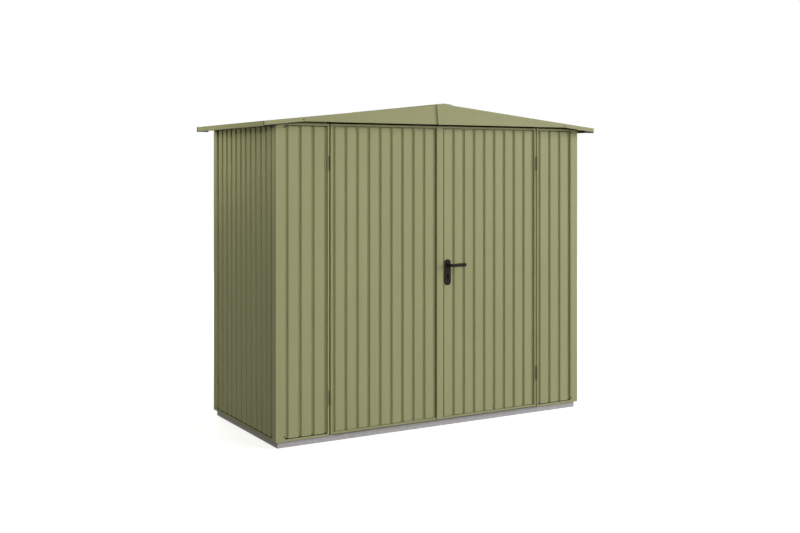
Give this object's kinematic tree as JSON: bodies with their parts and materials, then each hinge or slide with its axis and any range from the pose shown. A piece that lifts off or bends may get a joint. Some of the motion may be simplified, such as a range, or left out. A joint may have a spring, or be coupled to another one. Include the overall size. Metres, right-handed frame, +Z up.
{
  "type": "metal storage shed",
  "caption": "Low gabled garden storage shed of folded, trapezoidal steel sheet with a hinged double door, lever handle and galvanised base frame.",
  "frame": {"origin": "ground level under the middle of the shed", "axes": "+Z up, +X to the right along the front seen from outside, +Y from the doors towards the back wall"},
  "size_m": [2.584, 1.2084, 2.1643],
  "materials": {
    "green_steel": "satin powder coat, olive green",
    "galvanised_steel": "galvanised, matt",
    "seal_rubber": "matt black",
    "black_plastic": "matt black",
    "handle_black": "satin black",
    "lock_steel": "zinc plated",
    "cylinder_black": "black nickel plated"
  },
  "bodies": {
    "shed_frame": {"base_frame": "galvanised_steel", "floor_panel": "galvanised_steel", "corner_post_front_left": "green_steel", "corner_post_front_right": "green_steel", "corner_post_back_left": "green_steel", "corner_post_back_right": "green_steel", "door_jamb_left": "green_steel", "door_jamb_right": "green_steel", "door_head": "green_steel", "door_head_seal": "seal_rubber", "door_threshold": "galvanised_steel", "front_sills": "green_steel", "side_sills": "green_steel", "back_sill": "green_steel", "front_top_rails": "green_steel", "side_top_rails": "green_steel", "back_top_rail": "green_steel", "front_wall_left": "green_steel", "front_wall_right": "green_steel", "left_wall": "green_steel", "right_wall": "green_steel", "back_wall": "green_steel", "front_gable": "green_steel", "back_gable": "green_steel", "roof_left": "green_steel", "roof_right": "green_steel", "ridge_beam": "green_steel", "ridge_cap": "green_steel", "eave_trim_left": "green_steel", "eave_trim_right": "green_steel", "eave_end_caps": "black_plastic", "front_fascia_left": "green_steel", "front_fascia_right": "green_steel", "back_fascia_left": "green_steel", "back_fascia_right": "green_steel", "frame_hinges": "green_steel"},
    "left_door": {"left_door_frame": "green_steel", "left_door_sheet": "green_steel", "left_door_hinges": "green_steel"},
    "right_door": {"right_door_frame": "green_steel", "right_door_sheet": "green_steel", "right_door_hinges": "green_steel", "handle_plates": "handle_black", "lock_case": "lock_steel", "lock_cylinder": "cylinder_black"},
    "lever": {"lever_handle": "handle_black"}
  },
  "joints": [
    {"name": "left_door_hinge", "type": "hinge", "parent": "shed_frame", "child": "left_door", "pos_m": [-0.817, -0.5455, 1], "axis": [0, 0, -1], "range_deg": [0, 110]},
    {"name": "right_door_hinge", "type": "hinge", "parent": "shed_frame", "child": "right_door", "pos_m": [0.817, -0.5455, 1], "axis": [0, 0, 1], "range_deg": [0, 110]},
    {"name": "lever_turn", "type": "hinge", "parent": "right_door", "child": "lever", "pos_m": [0.0685, -0.5265, 1.083], "axis": [0, 1, 0], "range_deg": [0, 40], "stiffness_Nm_per_rad": 0.8, "springref_deg": -51.57}
  ]
}
